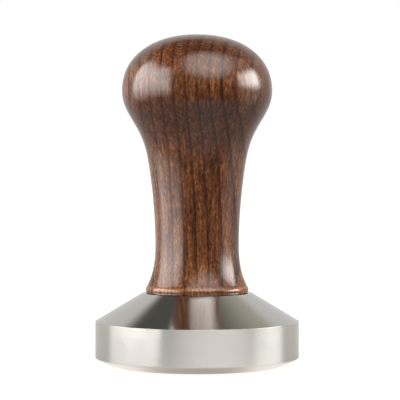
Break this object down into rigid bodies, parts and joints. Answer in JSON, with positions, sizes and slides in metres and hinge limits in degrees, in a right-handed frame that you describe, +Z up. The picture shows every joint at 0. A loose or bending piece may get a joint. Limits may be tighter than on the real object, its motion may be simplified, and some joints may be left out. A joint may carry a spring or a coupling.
{
  "type": "espresso tamper",
  "caption": "Hand tool for tamping ground coffee: a flat round steel base and a bulbous turned wooden handle that unscrews from it.",
  "frame": {"origin": "centre of the flat tamping face, the lowest point of the tamper's axis", "axes": "+Z up the axis of the tamper, from the tamping face to the top of the handle; every piece is turned about it, so +X and +Y are any two directions across it"},
  "size_m": [0.058, 0.058, 0.094],
  "materials": {
    "base_steel": "polished stainless steel, with faint turning marks on the wall and the tamping face",
    "stud_steel": "plated steel thread",
    "washer_rubber": "matt black rubber",
    "handle_wood": "dark red-brown stained hardwood under glossy lacquer",
    "insert_brass": "bright machined brass"
  },
  "bodies": {
    "base": {"base": "base_steel", "stud": "stud_steel"},
    "washer": {"washer": "washer_rubber"},
    "handle": {"handle": "handle_wood", "handle_insert": "insert_brass"}
  },
  "joints": [
    {"name": "handle_turn", "type": "hinge", "parent": "base", "child": "washer", "pos_m": [0, 0, 0.0205], "axis": [0, 0, 1], "range_deg": [0, 3240]},
    {"name": "handle_lift", "type": "slide", "parent": "washer", "child": "handle", "axis": [0, 0, 1], "range_m": [0, 0.01125]}
  ],
  "couplings": [
    {"joint": "handle_lift", "follows": "handle_turn", "m_per_rad": 0.00019894}
  ]
}
